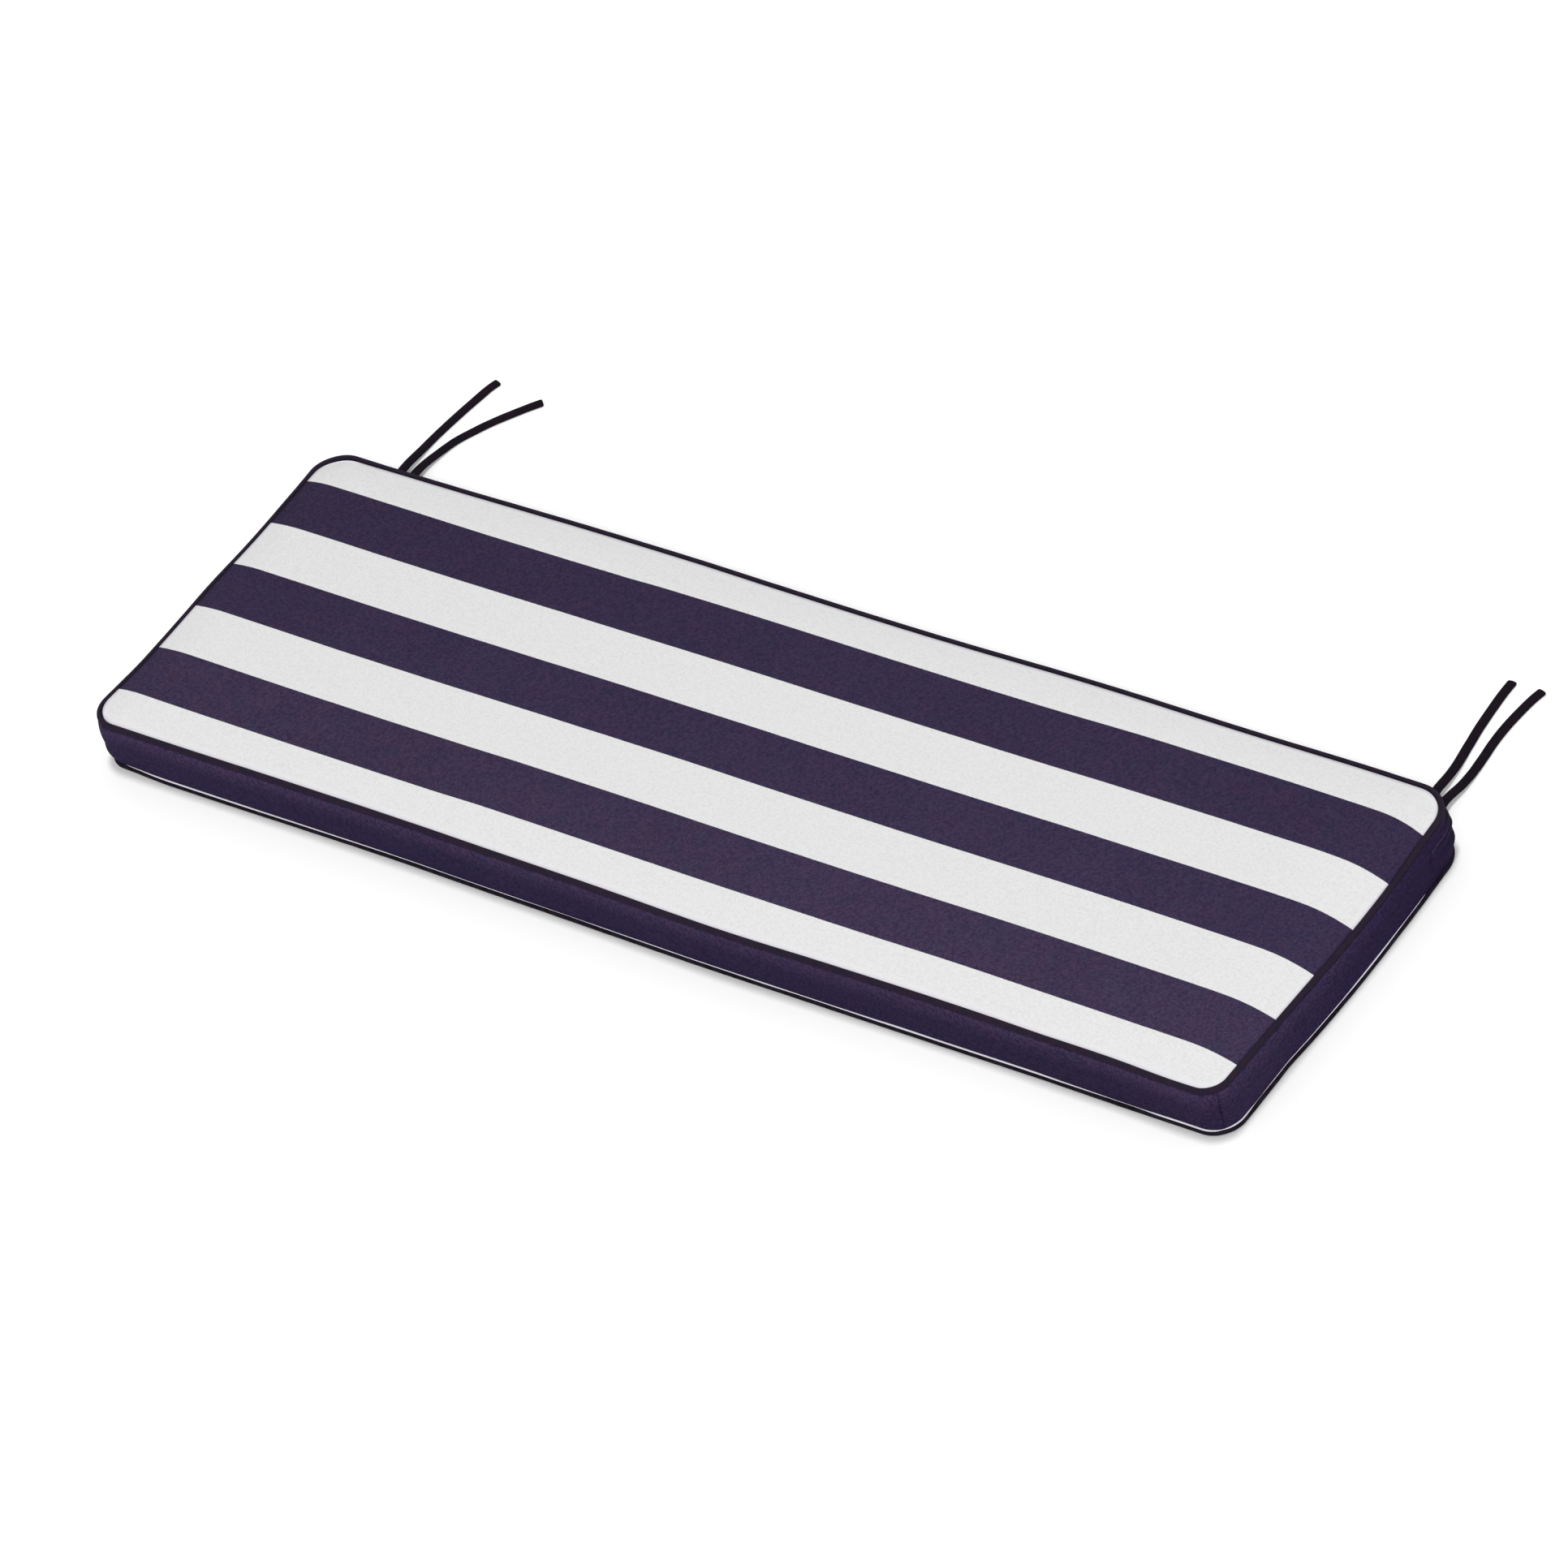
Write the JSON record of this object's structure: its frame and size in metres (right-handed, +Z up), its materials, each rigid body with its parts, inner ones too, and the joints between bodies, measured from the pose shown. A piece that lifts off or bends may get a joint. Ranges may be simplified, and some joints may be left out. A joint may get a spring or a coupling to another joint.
{
  "type": "bench cushion",
  "caption": "Long thin box-edged bench cushion with lengthwise stripes, navy boxing, dark piped seams and flat ties at the back corners.",
  "frame": {"origin": "middle of the underside, on the surface that the cushion rests on", "axes": "+X along the length, +Y towards the side with the ties, +Z up out of the striped top"},
  "size_m": [1.205, 0.5312, 0.0615],
  "materials": {
    "striped_cloth": "matt woven cloth, white with lengthwise navy stripes",
    "navy_cloth": "matt woven cloth, plain navy",
    "piping_cloth": "matt cloth-covered round piping, near black",
    "tie_cloth": "matt folded and stitched tape, near black"
  },
  "bodies": {
    "root": {"cushion": "striped_cloth", "boxing": "navy_cloth", "piping_top": "piping_cloth", "piping_bottom": "piping_cloth", "tie_left_a": "tie_cloth", "tie_left_b": "tie_cloth", "tie_right_a": "tie_cloth", "tie_right_b": "tie_cloth"}
  },
  "joints": []
}
